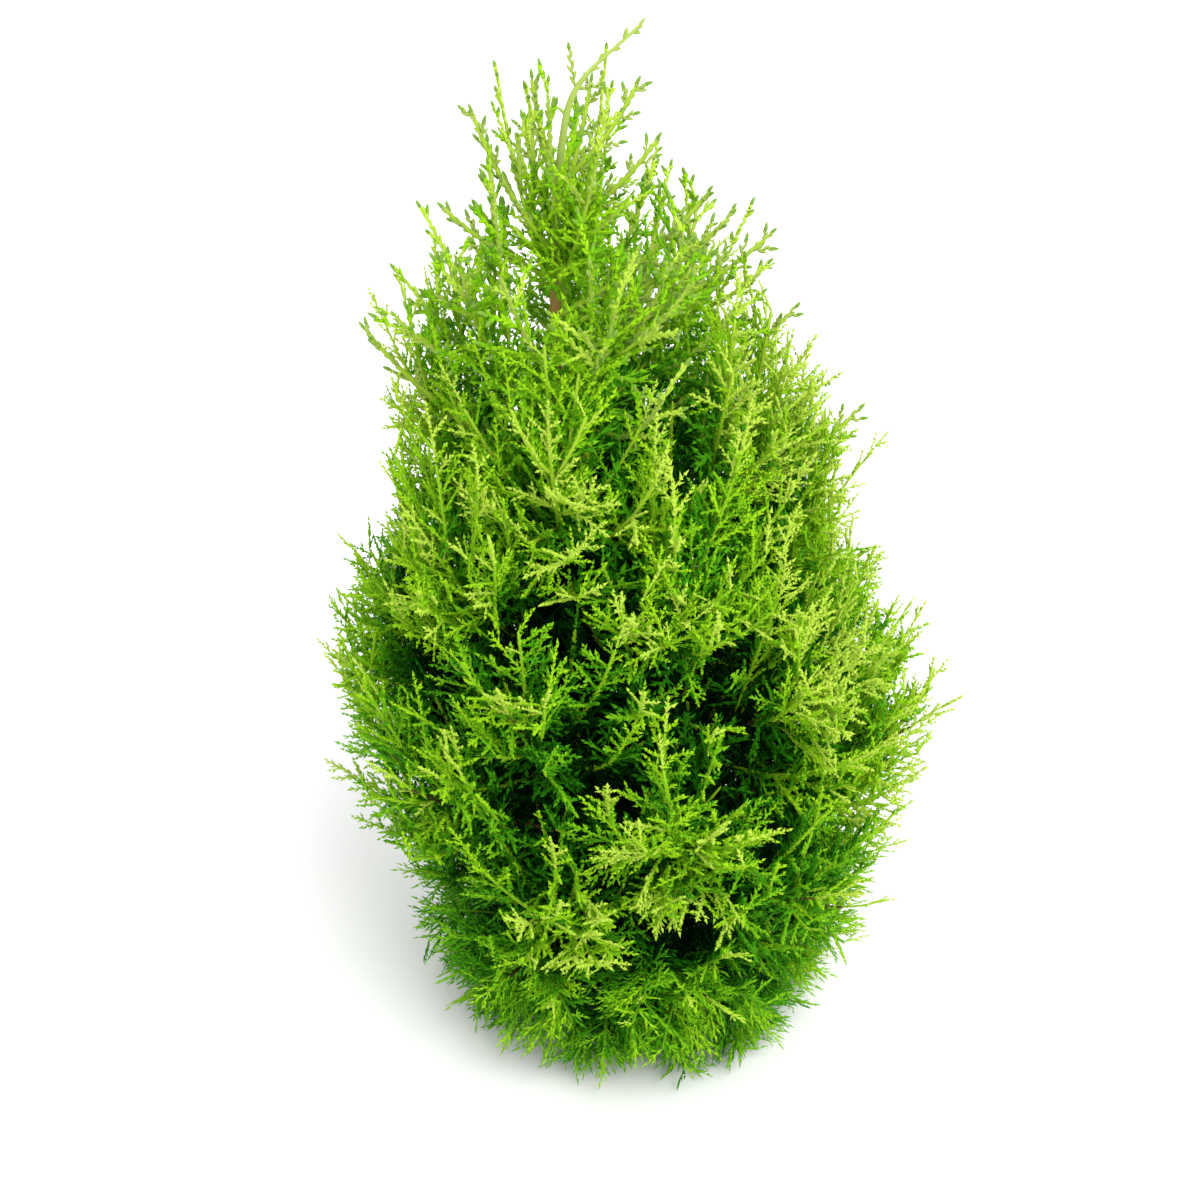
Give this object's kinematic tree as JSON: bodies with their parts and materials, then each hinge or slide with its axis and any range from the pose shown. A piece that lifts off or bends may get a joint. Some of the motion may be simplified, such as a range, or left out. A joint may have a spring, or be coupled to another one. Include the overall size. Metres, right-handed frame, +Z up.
{
  "type": "cypress tree",
  "caption": "Young lemon cypress as a whole plant: a slender leaning trunk with tapering boughs inside a broad flame-shaped crown of upswept feathery sprays, rooted in level ground.",
  "frame": {"origin": "centre of the flat cut under the trunk, at ground level", "axes": "+Z up along the plant's height, -Y towards the viewer of the picture, +X to the viewer's right"},
  "size_m": [0.2826, 0.2856, 0.4527],
  "materials": {
    "bark": "rough reddish brown bark, thin and finely furrowed, greener towards the leader",
    "bough_bark": "young red-brown bark on the boughs",
    "leaf_deep": "soft matt scale-leaf sprays, deep green, in the shaded lower crown",
    "leaf_mid": "soft matt scale-leaf sprays, fresh green, round the middle of the crown",
    "leaf_lime": "soft scale-leaf sprays, lemon to lime green, at the top and on the tips"
  },
  "bodies": {
    "root": {"trunk": "bark", "bough_belly_1": "bough_bark", "bough_belly_2": "bough_bark", "bough_belly_3": "bough_bark", "bough_belly_4": "bough_bark", "bough_belly_5": "bough_bark", "bough_belly_6": "bough_bark", "bough_waist_1": "bough_bark", "bough_waist_2": "bough_bark", "bough_waist_3": "bough_bark", "bough_waist_4": "bough_bark", "bough_waist_5": "bough_bark", "bough_waist_6": "bough_bark", "foliage_skirt_1": "leaf_deep", "foliage_skirt_2": "leaf_deep", "foliage_skirt_3": "leaf_deep", "foliage_skirt_4": "leaf_deep", "foliage_skirt_5": "leaf_deep", "foliage_skirt_6": "leaf_deep", "foliage_skirt_7": "leaf_deep", "foliage_low_1": "leaf_deep", "foliage_low_2": "leaf_deep", "foliage_low_3": "leaf_deep", "foliage_low_4": "leaf_deep", "foliage_low_5": "leaf_deep", "foliage_low_6": "leaf_deep", "foliage_low_7": "leaf_deep", "foliage_belly_1": "leaf_mid", "foliage_belly_2": "leaf_mid", "foliage_belly_3": "leaf_mid", "foliage_belly_4": "leaf_mid", "foliage_belly_5": "leaf_mid", "foliage_belly_6": "leaf_mid", "foliage_waist_1": "leaf_mid", "foliage_waist_2": "leaf_mid", "foliage_waist_3": "leaf_mid", "foliage_waist_4": "leaf_mid", "foliage_waist_5": "leaf_mid", "foliage_waist_6": "leaf_mid", "foliage_middle_1": "leaf_mid", "foliage_middle_2": "leaf_mid", "foliage_middle_3": "leaf_mid", "foliage_middle_4": "leaf_mid", "foliage_middle_5": "leaf_mid", "foliage_shoulder_1": "leaf_mid", "foliage_shoulder_2": "leaf_mid", "foliage_shoulder_3": "leaf_mid", "foliage_shoulder_4": "leaf_mid", "foliage_shoulder_5": "leaf_mid", "foliage_upper_1": "leaf_lime", "foliage_upper_2": "leaf_lime", "foliage_upper_3": "leaf_lime", "foliage_upper_4": "leaf_lime", "foliage_neck_1": "leaf_lime", "foliage_neck_2": "leaf_lime", "foliage_neck_3": "leaf_lime", "foliage_neck_4": "leaf_lime", "foliage_crest_1": "leaf_lime", "foliage_crest_2": "leaf_lime", "foliage_crest_3": "leaf_lime"}
  },
  "joints": []
}
